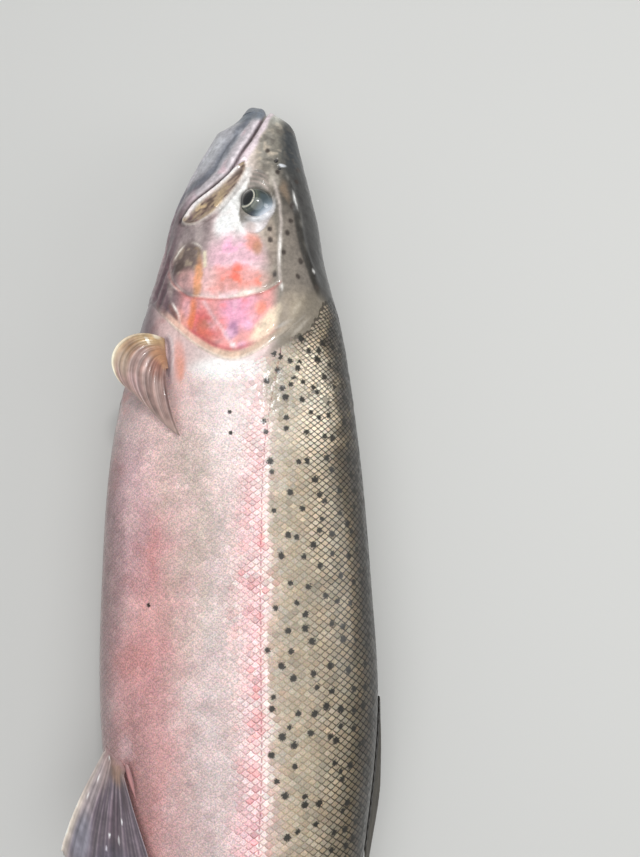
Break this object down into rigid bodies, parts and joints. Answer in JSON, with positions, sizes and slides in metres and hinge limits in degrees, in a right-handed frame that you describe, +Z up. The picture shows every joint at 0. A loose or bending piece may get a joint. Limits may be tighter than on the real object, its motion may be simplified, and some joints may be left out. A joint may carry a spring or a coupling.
{
  "type": "rainbow trout",
  "caption": "Life-size rainbow trout lying still on its right side: tapered body, closed mouth, spread left chest and belly fins, folded back fin and slightly forked tail.",
  "frame": {"origin": "on the floor, in the flat that the trunk rests on, below the fish's middle line at its deepest part", "axes": "+Y towards the head, +X towards the back and the dorsal fin, +Z up, out of the left flank"},
  "size_m": [0.1991, 0.8367, 0.0955],
  "materials": {
    "silver_skin": "wet, glossy, silver and rose over an olive back",
    "grey_skin": "wet, glossy grey",
    "rose_skin": "wet, glossy rose",
    "olive_skin": "wet, glossy olive",
    "smoke_fin": "wet, thin, slightly see-through",
    "amber_fin": "wet, thin, slightly see-through",
    "eye": "wet and clear over a dark pupil"
  },
  "bodies": {
    "root": {"head": "silver_skin", "lower_jaw": "grey_skin", "gill_cover_left": "rose_skin", "gill_cover_right": "rose_skin", "upper_jaw_bone_left": "grey_skin", "upper_jaw_bone_right": "grey_skin", "eye_left": "eye", "eye_right": "eye", "trunk_front": "silver_skin", "trunk_rear": "silver_skin", "tail_stem": "silver_skin", "dorsal_fin": "smoke_fin", "adipose_fin": "olive_skin", "anal_fin": "smoke_fin", "tail_fin": "smoke_fin", "pectoral_fin_left": "amber_fin", "pectoral_fin_right": "amber_fin", "pelvic_fin_left": "smoke_fin", "pelvic_fin_right": "smoke_fin"}
  },
  "joints": []
}
